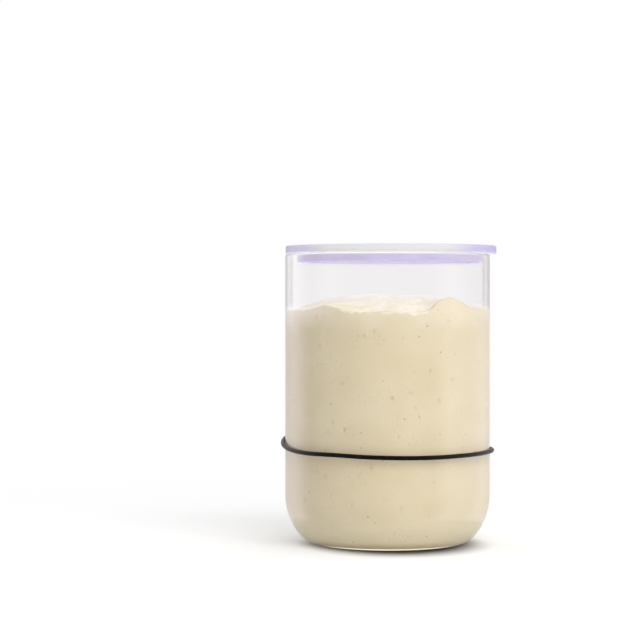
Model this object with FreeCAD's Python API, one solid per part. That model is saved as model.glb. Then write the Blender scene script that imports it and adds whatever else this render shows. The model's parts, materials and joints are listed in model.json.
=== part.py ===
"""Sourdough starter jar, as the separate pieces that it comes apart into.

A straight glass jar with a rounded heel holds risen starter. A clear lid drops into its mouth, with a
silicone ring round the lid's plug, and an elastic band round the wall marks the level the starter was fed at.

Lengths are in millimetres and angles in degrees. +Z is up, +X is to the right of someone facing the jar from
-Y, and the origin is the centre of the foot, on the table.
"""

import FreeCAD
import Part

import math
import os

# Glass jar
JAR_DIAMETER = 95.0
JAR_HEIGHT = 134.0
JAR_WALL = 2.0
JAR_FLOOR = 2.6
RIM_ROUNDING = 0.75
HEEL_WIDTH = 15.5
HEEL_HEIGHT = 22.5
HEEL_TOE_RADIUS = 11.5
FOOT_WIDTH = 6.0
FOOT_PUSH_UP = 0.6

# Lid disc
LID_FLANGE_THICKNESS = 4.0
LID_OVERHANG = 1.4
LID_EDGE_ROUNDING = 0.9
LID_ROOF_THICKNESS = 2.4
LID_PLUG_WALL = 2.2
LID_POCKET_ROUNDING = 1.2
LID_LIP_WIDTH = 0.5
LID_LIP_HEIGHT = 0.8
LID_LIP_ROUNDING = 0.3
LID_SIDE_GAP = 0.5

# Silicone ring
RING_WIDTH = 2.8
RING_HEIGHT = 3.7
RING_ROUNDING = 0.9
RING_CLEARANCE = 2.1

# Marker band
BAND_THICKNESS = 2.2
BAND_CLEARANCE = 0.3
BAND_HEIGHT = 45.3
BAND_TILT = 3.6
BAND_LOW_SIDE = -55.0

# Starter
STARTER_HEADSPACE = 27.7
STARTER_CROWN_RISE = 8.9
STARTER_CLEARANCE = 0.05
STARTER_CROWN_OVERRUN = 1.0

# Spans of the grid of heights across the crown, and the powers of the distance from the axis by which the crown
# falls and the swells of its edge fade inwards
CROWN_SPANS = 40
CROWN_FALL_POWER = 2.4
SWELL_FADE_POWER = 4.0

# Swells of the starter's edge up the glass: angle from the front towards +X, rise as a share of the crown's
# rise, and half width in degrees
SWELL_SHARES = (
    (-66, 0.19, 23),
    (-38, 0.34, 8),
    (2, 0.10, 12),
    (29, 0.22, 4),
    (37, 0.66, 8),
    (71, 0.31, 25),
    (150, 0.29, 24),
    (-138, 0.36, 22),
)

# Lumps on the starter's crown: place towards +X and +Y and half width as shares of the starter's radius, and
# rise as a share of the crown's rise
LUMP_SHARES = (
    (-0.42, -0.12, 0.17, 0.08),
    (0.03, 0.22, 0.16, 0.05),
    (0.20, -0.46, 0.13, 0.07),
    (-0.16, -0.60, 0.11, 0.05),
    (0.52, 0.12, 0.16, 0.08),
    (-0.30, 0.50, 0.19, 0.09),
    (0.27, 0.64, 0.15, 0.08),
    (-0.66, 0.22, 0.14, 0.06),
)

# Worked out from the sizes above
JAR_RADIUS = JAR_DIAMETER / 2
JAR_BORE_RADIUS = JAR_RADIUS - JAR_WALL
FOOT_RADIUS = JAR_RADIUS - HEEL_WIDTH
RING_RADIUS = JAR_BORE_RADIUS - RING_CLEARANCE
PLUG_RADIUS = RING_RADIUS - RING_WIDTH
RING_BOTTOM = JAR_HEIGHT - RING_HEIGHT
LID_SHIFT = RING_CLEARANCE - LID_SIDE_GAP
STARTER_RADIUS = JAR_BORE_RADIUS - STARTER_CLEARANCE
STARTER_FLOOR = JAR_FLOOR + STARTER_CLEARANCE
STARTER_EDGE = JAR_HEIGHT - STARTER_HEADSPACE

ORIGIN = FreeCAD.Vector(0, 0, 0)
UP = FreeCAD.Vector(0, 0, 1)


def place(radius, height):
    """A point of a turned outline, at this distance from the axis."""
    return FreeCAD.Vector(radius, 0, height)


def line(start, end):
    return Part.LineSegment(start, end).toShape()


def arc(centre, radius, start_angle, end_angle):
    """An arc of a turned outline. Angles are in degrees, from straight outwards towards up."""
    angles = (start_angle, (start_angle + end_angle) / 2, end_angle)
    turns = [math.radians(angle) for angle in angles]
    points = [centre + place(radius * math.cos(turn), radius * math.sin(turn)) for turn in turns]
    return Part.Arc(*points).toShape()


def turned(edges):
    """The solid that a closed outline sweeps in one turn about the axis."""
    outline = Part.Wire(Part.__sortEdges__(edges))
    return Part.Face(outline).revolve(ORIGIN, UP, 360)


def rounded_outline(corners):
    """Edges of a closed outline. Each corner is (distance from the axis, height, rounding)."""
    points = [place(radius, height) for radius, height, _ in corners]
    starts, ends, bends = [], [], []
    for index, (_, _, rounding) in enumerate(corners):
        corner = points[index]
        back = (points[index - 1] - corner).normalize()
        ahead = (points[(index + 1) % len(points)] - corner).normalize()
        half_angle = back.getAngle(ahead) / 2
        reach = rounding / math.tan(half_angle)
        starts.append(corner + back * reach)
        ends.append(corner + ahead * reach)
        if rounding:
            bisector = (back + ahead).normalize()
            crest = corner + bisector * (rounding / math.sin(half_angle) - rounding)
            bends.append(Part.Arc(starts[-1], crest, ends[-1]).toShape())
    runs = [line(ends[index - 1], starts[index]) for index in range(len(points))]
    return runs + bends


def heel(wall_radius, floor_height, toe_radius):
    """The two tangent arcs that carry a flat floor into the straight wall: a tight toe, then a wide flank."""
    width = wall_radius - FOOT_RADIUS
    rise = HEEL_HEIGHT - floor_height - toe_radius
    flank_radius = (width**2 + rise**2 - toe_radius**2) / (2 * (width - toe_radius))
    toe_centre = place(FOOT_RADIUS, floor_height + toe_radius)
    flank_centre = place(wall_radius - flank_radius, HEEL_HEIGHT)
    between = toe_centre - flank_centre
    lean = math.degrees(math.atan2(between.z, between.x))
    return [arc(toe_centre, toe_radius, -90, lean), arc(flank_centre, flank_radius, lean, 0)]


def inner_heel(clearance):
    """The heel inside the jar, drawn in by a clearance from the glass."""
    floor_height = JAR_FLOOR + clearance
    return heel(JAR_BORE_RADIUS - clearance, floor_height, HEEL_TOE_RADIUS - floor_height)


def glass_jar():
    """One piece of glass: foot with a shallow push-up, heel, straight wall and a fire-polished rim."""
    push_up_radius = FOOT_RADIUS - FOOT_WIDTH
    push_up_sphere = (push_up_radius**2 + FOOT_PUSH_UP**2) / (2 * FOOT_PUSH_UP)
    push_up_sweep = math.degrees(math.asin(push_up_radius / push_up_sphere))
    push_up_centre = place(0, FOOT_PUSH_UP - push_up_sphere)
    rim_start = JAR_HEIGHT - RIM_ROUNDING
    outer_rim = JAR_RADIUS - RIM_ROUNDING
    inner_rim = JAR_BORE_RADIUS + RIM_ROUNDING
    return turned([
        arc(push_up_centre, push_up_sphere, 90, 90 - push_up_sweep),
        line(place(push_up_radius, 0), place(FOOT_RADIUS, 0)),
        *heel(JAR_RADIUS, 0, HEEL_TOE_RADIUS),
        line(place(JAR_RADIUS, HEEL_HEIGHT), place(JAR_RADIUS, rim_start)),
        arc(place(outer_rim, rim_start), RIM_ROUNDING, 0, 90),
        line(place(outer_rim, JAR_HEIGHT), place(inner_rim, JAR_HEIGHT)),
        arc(place(inner_rim, rim_start), RIM_ROUNDING, 90, 180),
        line(place(JAR_BORE_RADIUS, rim_start), place(JAR_BORE_RADIUS, HEEL_HEIGHT)),
        *inner_heel(0),
        line(place(FOOT_RADIUS, JAR_FLOOR), place(0, JAR_FLOOR)),
        line(place(0, JAR_FLOOR), place(0, FOOT_PUSH_UP)),
    ])


def bell(distance, half_width):
    """A smooth bump, 1 at its middle, that dies away on both sides."""
    return math.exp(-((distance / half_width) ** 2) / 2)


def crown_height(across, along):
    """Height of the starter's top: a dome over its edge line, swelled along the glass and lumpy on the crown."""
    across_share, along_share = across / STARTER_RADIUS, along / STARTER_RADIUS
    out_share = math.hypot(across_share, along_share)
    angle = math.degrees(math.atan2(across, -along))
    rise_share = 1 - out_share**CROWN_FALL_POWER
    for middle, rise, width in SWELL_SHARES:
        turn = math.remainder(angle - middle, 360)
        rise_share += rise * bell(turn, width) * out_share**SWELL_FADE_POWER
    for x, y, width, rise in LUMP_SHARES:
        rise_share += rise * bell(math.hypot(across_share - x, along_share - y), width)
    return STARTER_EDGE + STARTER_CROWN_RISE * rise_share


def under_crown():
    """All that lies under the starter's top: one smooth sheet through a square grid of heights, carried down."""
    reach = STARTER_RADIUS + STARTER_CROWN_OVERRUN
    steps = [reach * (2 * index / CROWN_SPANS - 1) for index in range(CROWN_SPANS + 1)]
    sheet = Part.BSplineSurface()
    sheet.interpolate([[FreeCAD.Vector(x, y, crown_height(x, y)) for y in steps] for x in steps])
    return sheet.toShape().extrude(-UP * JAR_HEIGHT)


def starter():
    """The risen starter: it takes the shape of the jar up to its uneven edge, with a lumpy, domed crown."""
    column = turned([
        line(place(0, STARTER_FLOOR), place(FOOT_RADIUS, STARTER_FLOOR)),
        *inner_heel(STARTER_CLEARANCE),
        line(place(STARTER_RADIUS, HEEL_HEIGHT), place(STARTER_RADIUS, JAR_HEIGHT)),
        line(place(STARTER_RADIUS, JAR_HEIGHT), place(0, JAR_HEIGHT)),
        line(place(0, JAR_HEIGHT), place(0, STARTER_FLOOR)),
    ])
    return column.common(under_crown()).Solids[0]


def on_lid_axis(shape):
    """The loose lid has slid sideways in the mouth, to within the side gap of the wall."""
    return shape.translated(FreeCAD.Vector(LID_SHIFT, 0, 0))


def lid_disc():
    """The clear lid: a flange that rests on the rim, over a hollow plug with a lip that keeps the ring on."""
    top = JAR_HEIGHT + LID_FLANGE_THICKNESS
    flange_radius = JAR_RADIUS + LID_OVERHANG
    lip_radius = PLUG_RADIUS + LID_LIP_WIDTH
    lip_bottom = RING_BOTTOM - LID_LIP_HEIGHT
    pocket_radius = PLUG_RADIUS - LID_PLUG_WALL
    pocket_roof = top - LID_ROOF_THICKNESS
    return on_lid_axis(turned(rounded_outline([
        (0, top, 0),
        (flange_radius, top, LID_EDGE_ROUNDING),
        (flange_radius, JAR_HEIGHT, LID_EDGE_ROUNDING),
        (PLUG_RADIUS, JAR_HEIGHT, 0),
        (PLUG_RADIUS, RING_BOTTOM, 0),
        (lip_radius, RING_BOTTOM, LID_LIP_ROUNDING),
        (lip_radius, lip_bottom, LID_LIP_ROUNDING),
        (pocket_radius, lip_bottom, LID_LIP_ROUNDING),
        (pocket_radius, pocket_roof, LID_POCKET_ROUNDING),
        (0, pocket_roof, 0),
    ])))


def lid_ring():
    """The soft ring that sits in the groove between the lid's flange and lip."""
    return on_lid_axis(turned(rounded_outline([
        (PLUG_RADIUS, JAR_HEIGHT, 0),
        (RING_RADIUS, JAR_HEIGHT, RING_ROUNDING),
        (RING_RADIUS, RING_BOTTOM, RING_ROUNDING),
        (PLUG_RADIUS, RING_BOTTOM, 0),
    ])))


def marker_band():
    """A round elastic ring, put on by hand, so it sits a little askew and low on one side."""
    cord_radius = BAND_THICKNESS / 2
    hoop_radius = (JAR_RADIUS + BAND_CLEARANCE + cord_radius) / math.cos(math.radians(BAND_TILT))
    band = Part.makeTorus(hoop_radius, cord_radius)
    band.rotate(ORIGIN, FreeCAD.Vector(0, 1, 0), BAND_TILT)
    band.rotate(ORIGIN, UP, BAND_LOW_SIDE)
    return band.translated(FreeCAD.Vector(0, 0, BAND_HEIGHT))


PIECES = {
    "glass_jar": glass_jar,
    "starter": starter,
    "lid_disc": lid_disc,
    "lid_ring": lid_ring,
    "marker_band": marker_band,
}


def main():
    os.makedirs("parts", exist_ok=True)
    for name, build in PIECES.items():
        solid = build()
        solid.exportStep(os.path.join("parts", name + ".step"))
        print(f"{name}: {solid.Volume:.0f} cubic millimetres, valid {solid.isValid()}")


main()
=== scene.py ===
"""Dresses the sourdough starter jar: glass, starter, lid, silicone ring and marker band, on a white table.

Lengths are in metres in the row frame: +Z up, the jar's axis on Z, and the camera in front, towards -Y.
Angles round the jar are in degrees from the front, and grow towards +X. A range is a pair of values, and what
it rules goes from 0 at the first to 1 at the second. A noise is the size of its spots, then its detail and
roughness. A gloss is the least roughness, then what the grain adds.
"""

import json
import math

import bpy
import numpy as np
from bpy.props import FloatProperty, FloatVectorProperty, IntProperty, PointerProperty
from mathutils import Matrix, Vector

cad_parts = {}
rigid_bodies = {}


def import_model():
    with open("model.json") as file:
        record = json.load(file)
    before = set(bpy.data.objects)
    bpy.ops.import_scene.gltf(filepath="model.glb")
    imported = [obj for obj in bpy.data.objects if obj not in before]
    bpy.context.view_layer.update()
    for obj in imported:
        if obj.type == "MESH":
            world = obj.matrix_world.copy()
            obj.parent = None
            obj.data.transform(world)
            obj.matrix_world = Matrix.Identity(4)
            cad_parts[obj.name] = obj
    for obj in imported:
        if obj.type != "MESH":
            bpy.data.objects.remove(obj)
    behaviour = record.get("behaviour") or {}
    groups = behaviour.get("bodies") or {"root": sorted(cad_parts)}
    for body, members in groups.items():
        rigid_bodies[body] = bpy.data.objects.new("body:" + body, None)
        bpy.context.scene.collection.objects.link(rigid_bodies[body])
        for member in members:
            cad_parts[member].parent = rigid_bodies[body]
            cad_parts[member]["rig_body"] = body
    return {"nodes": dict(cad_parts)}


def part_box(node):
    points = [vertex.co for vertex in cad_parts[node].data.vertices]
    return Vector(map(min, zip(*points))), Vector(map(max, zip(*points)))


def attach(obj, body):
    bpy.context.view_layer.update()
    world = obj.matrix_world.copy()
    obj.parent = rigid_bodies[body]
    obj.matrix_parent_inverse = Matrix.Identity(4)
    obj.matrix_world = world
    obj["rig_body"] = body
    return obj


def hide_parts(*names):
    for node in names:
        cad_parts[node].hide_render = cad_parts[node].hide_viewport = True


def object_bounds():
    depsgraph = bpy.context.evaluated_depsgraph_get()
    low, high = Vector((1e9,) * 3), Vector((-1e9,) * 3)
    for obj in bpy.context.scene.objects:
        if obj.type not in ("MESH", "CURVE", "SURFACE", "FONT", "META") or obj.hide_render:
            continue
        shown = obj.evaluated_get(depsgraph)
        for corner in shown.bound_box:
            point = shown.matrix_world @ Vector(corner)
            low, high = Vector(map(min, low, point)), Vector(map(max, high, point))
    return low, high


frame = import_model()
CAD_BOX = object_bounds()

bl_info = {
    "name": "Starter jar",
    "version": (1, 0, 0),
    "blender": (4, 5, 0),
    "location": "3D View > Sidebar > Starter jar",
    "description": "Makes the visible pieces of a sourdough starter jar, and a table to stand it on",
    "category": "Add Mesh",
}

MM = 0.001
QUARTER_TURN = math.pi / 2
FULL_TURN = 2 * math.pi
WHITE = (1, 1, 1)
BLACK = (0, 0, 0)

# A vector times this is its level part
LEVEL = (1, 1, 0)

# What the starter's mesh keeps for its finish: how deep in a pit and how far under the edge a point lies
HOLLOW_NAME = "hollow"
UNDER_NAME = "under"

# Steps of the turned and swept surfaces
TURN_STEPS = 256
HEEL_STEPS = 18
ROUNDING_STEPS = 9
SUPPORT_SHARE = 0.3
BAND_STEPS = 360
CORD_STEPS = 24
STARTER_TURN_STEPS = 460
STARTER_FLOOR_STEPS = 4
STARTER_WALL_STEPS = 118
STARTER_CROWN_STEPS = 58
STARTER_CROWN_SPREAD = 1.15

JAR_LOW, JAR_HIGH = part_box("glass_jar")
LID_LOW, LID_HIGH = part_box("lid_disc")
RING_LOW, RING_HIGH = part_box("lid_ring")
LID_AXIS = (LID_LOW.x + LID_HIGH.x) / 2

# Powers of the distance from the axis, as a share of the radius: the crown falls with the first, its edge's
# swells and unevenness grow outwards with the next two, and the dome's ripples fade outwards with the last
CROWN_FALL_POWER = 2.4
SWELL_POWER = 4.0
UNEVEN_POWER = 26.0
RIPPLE_POWER = 8.0

# Swells of the starter's edge up the glass: angle, rise as a share of the crown's rise, half width
STARTER_SWELLS = (
    (-66, 0.19, 23),
    (-38, 0.34, 8),
    (2, 0.10, 12),
    (29, 0.22, 4),
    (37, 0.66, 8),
    (71, 0.31, 25),
    (150, 0.29, 24),
    (-138, 0.36, 22),
)

# Froth stays off the glass where the edge swells: the swell's range, and how far froth is then put off
FROTH_SWELL_RANGE = (0.22, 0.34)
FROTH_PUT_OFF = 10 * MM

# Lumps on the crown: place towards +X and +Y and half width, as shares of the radius, and share of its rise
STARTER_LUMPS = (
    (-0.42, -0.12, 0.17, 0.08),
    (0.03, 0.22, 0.16, 0.05),
    (0.20, -0.46, 0.13, 0.07),
    (-0.16, -0.60, 0.11, 0.05),
    (0.52, 0.12, 0.16, 0.08),
    (-0.30, 0.50, 0.19, 0.09),
    (0.27, 0.64, 0.15, 0.08),
    (-0.66, 0.22, 0.14, 0.06),
)

# Soft relief along the starter's edge and over its dome: height, wavelength, seed
EDGE_RELIEF = (
    (0.22 * MM, 9 * MM, 15),
    (0.12 * MM, 3.2 * MM, 16),
)
DOME_RELIEF = (
    (0.14 * MM, 7 * MM, 4),
    (0.07 * MM, 2.6 * MM, 9),
)
RELIEF_WAVES = 28
RELIEF_WAVE_SPREAD = (0.7, 1.4)

# Pits of the starter: where they lie, their radii, and their depths as shares of the radius
PIT_SEED = 21
PIT_LOWEST = 14 * MM
PIT_UNDER_BASE_LINE = 2 * MM
WALL_PIT_RADII = (0.6 * MM, 1.1 * MM)
WALL_PIT_DEPTHS = (0.5, 0.8)
WALL_PITS_PER_DOME_PIT = 3
DOME_PIT_REACH = 0.93
DOME_PIT_RADII = (0.6 * MM, 1.3 * MM)
DOME_PIT_DEPTHS = (0.4, 0.8)

# Single holes in the crown: place towards +X and +Y as shares of the radius, and radius
DOME_HOLES = (
    (0.00, -0.66, 1.5 * MM),
    (0.22, -0.74, 1.1 * MM),
    (-0.48, -0.62, 1.3 * MM),
    (-0.36, -0.70, 1.0 * MM),
    (0.55, -0.35, 1.4 * MM),
    (-0.15, 0.10, 1.6 * MM),
    (0.30, 0.38, 1.3 * MM),
    (-0.52, 0.30, 1.5 * MM),
)

# How far the band rides above its lowest line: angle, rise, half width
BAND_SWELLS = (
    (-135, 7.5 * MM, 38),
    (-32, 0.5 * MM, 12),
    (17, -0.3 * MM, 15),
    (85, 0.4 * MM, 26),
)

# The table top: its middle ring and its underside as shares of its radius, its thickness, its gap to the foot
TABLE_MIDDLE_RING = 0.4
TABLE_UNDERSIDE = 0.999
TABLE_THICKNESS = 1 * MM
TABLE_GAP = 0.02 * MM


def length(name, description, default):
    """A property for a length, in metres."""
    return FloatProperty(name=name, description=description, default=default, precision=5, unit="LENGTH")


def share(name, description, default):
    """A property for a share, from 0 to 1."""
    return FloatProperty(name=name, description=description, default=default, min=0, max=1, subtype="FACTOR")


def colour(name, description, default):
    """A property for a linear colour."""
    return FloatVectorProperty(name=name, description=description, default=default, size=3, min=0, max=1,
                               subtype="COLOR")


def spot(name, description, default):
    """A property for a place, in metres."""
    return FloatVectorProperty(name=name, description=description, default=default, size=3, precision=5,
                               unit="LENGTH", subtype="XYZ")


class JarSettings(bpy.types.PropertyGroup):
    """Sizes and colours of the glass jar"""

    radius: length("Outer radius", "Radius of the straight wall outside", JAR_HIGH.x)
    height: length("Height", "Height of the rim above the table", JAR_HIGH.z)
    wall: length("Wall", "Thickness of the straight wall", 2.0 * MM)
    floor: length("Floor", "Thickness of the glass under the starter", 2.6 * MM)
    rim_rounding: length("Rim rounding", "Radius of the fire-polished rim's edges", 0.75 * MM)
    heel_width: length("Heel width", "How far the foot stands in from the wall", 15.5 * MM)
    heel_height: length("Heel height", "Height at which the wall turns straight", 22.5 * MM)
    toe: length("Toe radius", "Radius of the tight bend next to the foot", 11.5 * MM)
    foot_width: length("Foot width", "Width of the flat ring that the jar stands on", 6.0 * MM)
    push_up: length("Push-up", "Rise of the hollow under the foot", 0.6 * MM)
    fill_line: length("Fill line", "Height up to which the starter backs the glass", 109 * MM)
    tint: colour("Tint", "Colour that the surface of the glass passes", (0.985, 0.975, 0.98))
    # Side and edge tints are painted shade: they darken the empty wall as it turns away from the view
    painted_side_shade: colour("Side tint", "Colour passed where the wall turns away", (0.88, 0.87, 0.875))
    painted_edge_shade: colour("Edge tint", "Colour passed along the very edge of the glass", (0.36, 0.35, 0.35))
    depth_tint: colour("Depth tint", "Colour that the glass takes on with depth", (0.68, 0.66, 0.66))
    # Foot, rim and crest glows are painted light: emission for light that the glass carries along inside it
    painted_foot_glow: colour("Foot glow", "Light that comes out at the edge of the foot", (1.0, 0.95, 0.74))
    painted_rim_glow: colour("Rim glow", "Light that comes out of the glass at the rim", (0.13, 0.15, 0.03))
    painted_crest_glow: colour("Crest glow", "Light that comes out of the very top of the rim", (0.34, 0.35, 0.26))
    density: FloatProperty(name="Density", description="How fast the glass darkens with depth, per metre",
                           default=25.0, min=0)


class StarterSettings(bpy.types.PropertyGroup):
    """Sizes and colours of the risen starter"""

    base_line: length("Base line", "Height of its edge on the glass, before its swells", 106.3 * MM)
    crown_rise: length("Crown rise", "Rise of the middle of the dome above the base line", 8.9 * MM)
    wetting: length("Wetting", "How far it reaches into the glass, so that no air shows between", 0.12 * MM)
    pits: IntProperty(name="Pits", description="Number of bubbles that show as pits on the glass",
                      default=120, min=0)
    body: colour("Body", "Colour of the starter against the glass", (0.625, 0.545, 0.365))
    pale: colour("Pale", "Colour of the paler patches", (0.66, 0.585, 0.41))
    froth: colour("Froth", "Colour of the airy crown", (0.93, 0.895, 0.785))
    # Shoulder is also the colour of the painted light in the heel
    shoulder: colour("Shoulder", "Colour of the crown's shoulder and of the heel", (0.84, 0.785, 0.575))
    # Crest is painted light: paler below the edge, full on the left and less elsewhere
    crest: colour("Crest", "Colour of the edge that climbs the glass", (0.86, 0.80, 0.665))
    # Bran is also the colour of the painted shade at the toe, in bubbles and in pits
    bran: colour("Bran", "Colour of the flecks of bran", (0.42, 0.31, 0.17))


class LidSettings(bpy.types.PropertyGroup):
    """Sizes and colours of the lid and its ring"""

    flange_radius: length("Flange radius", "Radius of the flange on the rim", LID_HIGH.x - LID_AXIS)
    top: length("Top", "Height of the lid's flat top", LID_HIGH.z)
    edge_rounding: length("Edge rounding", "Radius of the flange's edges", 0.9 * MM)
    roof: length("Roof", "Thickness of the plate over the hollow plug", 2.4 * MM)
    plug_wall: length("Plug wall", "Thickness of the plug's wall", 2.2 * MM)
    pocket_rounding: length("Pocket rounding", "Radius inside the hollow plug", 1.2 * MM)
    lip: length("Lip", "How far the lip stands out under the ring", 0.5 * MM)
    lip_rounding: length("Lip rounding", "Radius of the lip's edges", 0.25 * MM)
    corner: length("Corner", "Radius of the corners that the ring hides", 0.15 * MM)
    ring_width: length("Ring width", "Thickness of the silicone ring", 2.8 * MM)
    ring_rounding: length("Ring rounding", "Radius of the ring's outer edges", 0.6 * MM)
    bond: length("Bond", "How far the ring is pressed in, so that no air shows between", 0.04 * MM)
    plastic: colour("Plastic", "Colour of the plastic's haze, seen squarely", (0.51, 0.495, 0.50))
    # Painted lavender: the ring's colour as the flange's ends show it, painted on the plastic's haze
    painted_ring_lavender: colour("Plastic edge", "Colour of the haze at the flange's ends", (0.325, 0.265, 0.59))
    haze: share("Haze", "How much of the view the haze hides, seen squarely", 0.50)
    silicone: colour("Silicone", "Colour of the ring", (0.73, 0.695, 0.90))
    # Silicone glow is painted light: emission that evens out the ring's shade
    painted_silicone_glow: colour("Silicone glow", "Light that scatters out of the ring", (0.10, 0.09, 0.11))


class BandSettings(bpy.types.PropertyGroup):
    """Sizes and colours of the marker band"""

    thickness: length("Thickness", "Diameter of the elastic", 2.0 * MM)
    low_line: length("Low line", "Height of the band's lowest stretch", 43.0 * MM)
    gap: length("Gap", "Room between the band and the glass", 0.03 * MM)
    rubber: colour("Rubber", "Colour of the elastic", (0.0035, 0.0025, 0.0025))
    worn: colour("Worn", "Colour of the dusty, worn elastic", (0.010, 0.008, 0.008))


class StageSettings(bpy.types.PropertyGroup):
    """Table, light and camera"""

    camera_place: spot("Camera", "Where the camera stands", (-0.0313, -0.990, 0.111))
    camera_tilt: FloatProperty(name="Tilt", description="How far the camera looks down", unit="ROTATION",
                               default=math.radians(0.43), subtype="ANGLE")
    lens: FloatProperty(name="Lens", description="Focal length in millimetres, on a 36 mm frame",
                        default=119.8, unit="CAMERA")
    table_radius: length("Table radius", "Radius of the white table top", 1.6)
    table: colour("Table", "Colour of the table top", (0.93, 0.93, 0.93))
    contact: colour("Contact", "Colour of the shade where the heel meets the table", (0.06, 0.055, 0.05))
    ambient: share("Ambient", "Level of the soft light that comes from behind", 0.5)
    overhead: share("Overhead", "Level of the light that comes from straight above", 0.92)
    backdrop: share("Backdrop", "Level of the white that clear things show behind them", 0.965)
    mirror_tint: colour("Mirror tint", "Colour of the room that glossy things mirror", (1.0, 0.945, 0.985))
    key: FloatProperty(name="Key", description="Power of the main lamp, in watts", default=16.3, unit="POWER")
    key_place: spot("Key place", "Where the main lamp hangs", (0.48, -1.10, 0.72))
    key_side: length("Key side", "Side of the square main lamp", 1.4)


class Value:
    """A shader socket that Python arithmetic can use: each operator adds a Math node."""

    def __init__(self, sheet, socket):
        self.sheet = sheet
        self.socket = socket

    def maths(self, operation, *operands):
        """The result of a Math node."""
        return self.sheet.node("ShaderNodeMath", {"operation": operation}, dict(enumerate(operands)))

    def __add__(self, other):
        return self.maths("ADD", self, other)

    def __sub__(self, other):
        return self.maths("SUBTRACT", self, other)

    def __rsub__(self, other):
        return self.maths("SUBTRACT", other, self)

    def __mul__(self, other):
        return self.maths("MULTIPLY", self, other)

    __radd__ = __add__
    __rmul__ = __mul__

    def most(self, other):
        """The larger of two values."""
        return self.maths("MAXIMUM", self, other)

    def between(self, low, high):
        """0 below low, 1 above high, and a smooth climb between."""
        return self.sheet.node("ShaderNodeMapRange", {"interpolation_type": "SMOOTHSTEP"},
                               {"Value": self, "From Min": low, "From Max": high})

    def about(self, middle, around):
        """As between, for a range that is given as distances above a middle."""
        return self.between(middle + around[0], middle + around[1])

    def raised(self, low):
        """Low where the value is 0, and 1 where it is 1."""
        return low + (1 - low) * self

    def over(self, least, more):
        """Least where the value is 0, and more above that where it is 1."""
        return least + self * more


class Sheet:
    """A node tree that is being written."""

    def __init__(self, tree):
        tree.nodes.clear()
        self.tree = tree

    def node(self, kind, settings=None, sockets=None, output=0):
        """Adds a node: sets its settings, then each socket's value or link. None leaves a socket alone."""
        made = self.tree.nodes.new(kind)
        for name, value in (settings or {}).items():
            setattr(made, name, value)
        for key, value in (sockets or {}).items():
            if isinstance(value, Value):
                self.tree.links.new(value.socket, made.inputs[key])
            elif value is not None:
                flat = isinstance(value, (int, float))
                made.inputs[key].default_value = value if flat else rgba_for(made.inputs[key], value)
        return Value(self, made.outputs[output]) if len(made.outputs) else made

    def place(self):
        """Where a point lies on its object."""
        return self.node("ShaderNodeTexCoord", output="Object")

    def axis(self, vector, name):
        """A vector's X, Y or Z."""
        return self.node("ShaderNodeSeparateXYZ", None, {"Vector": vector}, name)

    def vector(self, operation, first, second=None, output=0):
        """Vector maths."""
        return self.node("ShaderNodeVectorMath", {"operation": operation}, {0: first, 1: second}, output)

    def span(self, vector):
        """A vector's length."""
        return self.vector("LENGTH", vector, output="Value")

    def turned_away(self, normal=None):
        """0 where the surface, or a normal given for it, faces the view, and 1 where it is seen edge on."""
        return self.node("ShaderNodeLayerWeight", None, {"Blend": 0.5, "Normal": normal}, "Facing")

    def kept(self, name):
        """A value that the mesh keeps for each of its points."""
        return self.node("ShaderNodeAttribute", {"attribute_name": name}, None, "Fac")

    def noise(self, place, size, detail=2.0, roughness=0.5):
        """Soft random values, about 0.5, in spots of this size in metres."""
        return self.node("ShaderNodeTexNoise", None, {
            "Vector": place, "Scale": 1 / size, "Detail": detail, "Roughness": roughness})

    def cells(self, place, size, output="Distance"):
        """Random cells of this size in metres: the distance from a cell's middle, or its random colour."""
        return self.node("ShaderNodeTexVoronoi", None, {
            "Vector": place, "Scale": 1 / size, "Randomness": 1.0}, output)

    def bump(self, height, depth, strength=1.0):
        """A normal that follows a height from 0 to 1, over this depth in metres."""
        return self.node("ShaderNodeBump", None, {"Height": height, "Distance": depth, "Strength": strength})

    def blend(self, factor, first, second):
        """A colour between two, by factor."""
        return self.node("ShaderNodeMix", {"data_type": "RGBA"}, {0: factor, 6: first, 7: second}, 2)

    def ray(self, *kinds):
        """1 for a ray that is of any of these kinds."""
        found = [self.node("ShaderNodeLightPath", output=f"Is {kind} Ray") for kind in kinds]
        total = found[0]
        for other in found[1:]:
            total = total.most(other)
        return total

    def mirrored(self):
        """1 for a ray that is mirrored, without those that pass clear things, which count as glossy too."""
        return self.ray("Glossy") * (1 - self.ray("Transmission"))

    def body(self, sockets):
        """A surface with these values and links."""
        return self.node("ShaderNodeBsdfPrincipled", None, sockets)

    def clear(self, tint):
        """No surface, but a tint on what passes."""
        return self.node("ShaderNodeBsdfTransparent", None, {"Color": tint})

    def either(self, factor, first, second):
        """A shader between two, by factor."""
        return self.node("ShaderNodeMixShader", None, {0: factor, 1: first, 2: second})

    def passing(self, shader, tint):
        """A shader that lamps and matt light pass, in this tint."""
        return self.either(self.ray("Shadow", "Diffuse"), shader, self.clear(tint))

    def end(self, surface, volume=None):
        """Ends the material with its surface, and with what fills it."""
        self.node("ShaderNodeOutputMaterial", None, {"Surface": surface, "Volume": volume})


def rgba_for(socket, value):
    """A colour's three numbers, with full alpha where the socket wants four."""
    return (*value, 1.0) if len(socket.default_value) == 4 else tuple(value)


def finish_sheet(name):
    """A new material and its empty sheet."""
    material = bpy.data.materials.new(name)
    material.use_nodes = True
    return material, Sheet(material.node_tree)


# Glass: smears that dull it, and a slow ripple of the wall
GLASS_INDEX = 1.5
SMEARS = (14 * MM, 3.0)
SMEAR_RANGE = (0.42, 0.75)
SMEAR_ROUGHNESS = 0.02
WALL_RIPPLE = (22 * MM, 1.0)
WALL_RIPPLE_DEPTH = 0.005 * MM

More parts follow.
